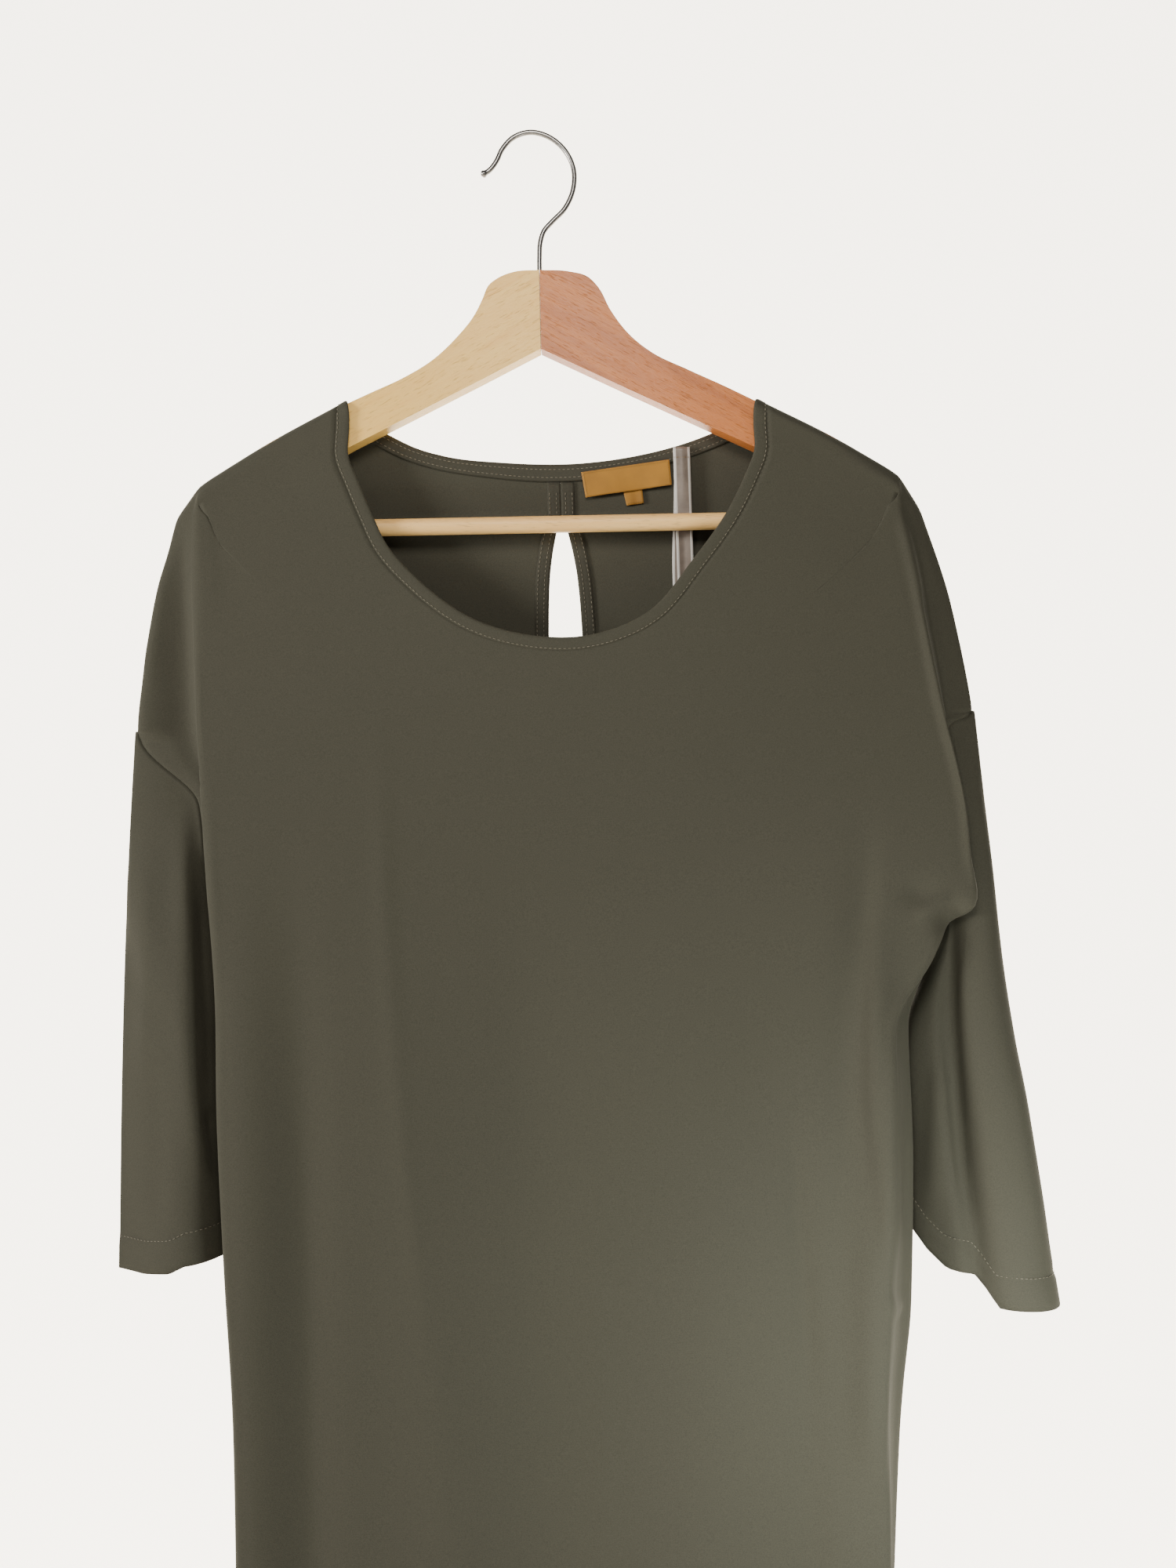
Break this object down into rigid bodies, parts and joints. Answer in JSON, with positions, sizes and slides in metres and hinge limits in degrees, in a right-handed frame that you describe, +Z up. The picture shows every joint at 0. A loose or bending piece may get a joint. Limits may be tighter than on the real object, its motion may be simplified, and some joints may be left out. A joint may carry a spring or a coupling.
{
  "type": "jersey dress on a wooden hanger with a hook",
  "caption": "Loose jersey dress with a scoop neck, drop shoulders, three-quarter sleeves and a back keyhole, hung on a wooden hanger.",
  "frame": {"origin": "inside top of the hanger hook's bend, where a rail or pin carries it", "axes": "+X to the right seen from the front, +Y from the front to the back, +Z up"},
  "size_m": [0.5832, 0.0731, 1.1302],
  "materials": {
    "jersey": "matte olive jersey with a soft sheen",
    "neck_tape": "matte olive tape, stitched",
    "ochre_weave": "woven ochre label, bare",
    "taupe_satin": "satin ribbon with pale edges",
    "pale_wood": "lacquered pale honey wood",
    "warm_wood": "lacquered warm orange-brown wood",
    "bar_wood": "plain turned beech",
    "steel_wire": "bright drawn steel wire"
  },
  "bodies": {
    "root": {"front_panel": "jersey", "back_panel": "jersey", "left_sleeve": "jersey", "right_sleeve": "jersey", "front_neck_band": "jersey", "back_neck_tape": "neck_tape", "keyhole_facing_left": "neck_tape", "keyhole_facing_right": "neck_tape", "label": "ochre_weave", "size_tab": "ochre_weave", "hanging_loop": "taupe_satin", "hanger_arm_left": "pale_wood", "hanger_arm_right": "warm_wood", "hanger_bar": "bar_wood", "hanger_hook": "steel_wire"}
  },
  "joints": []
}
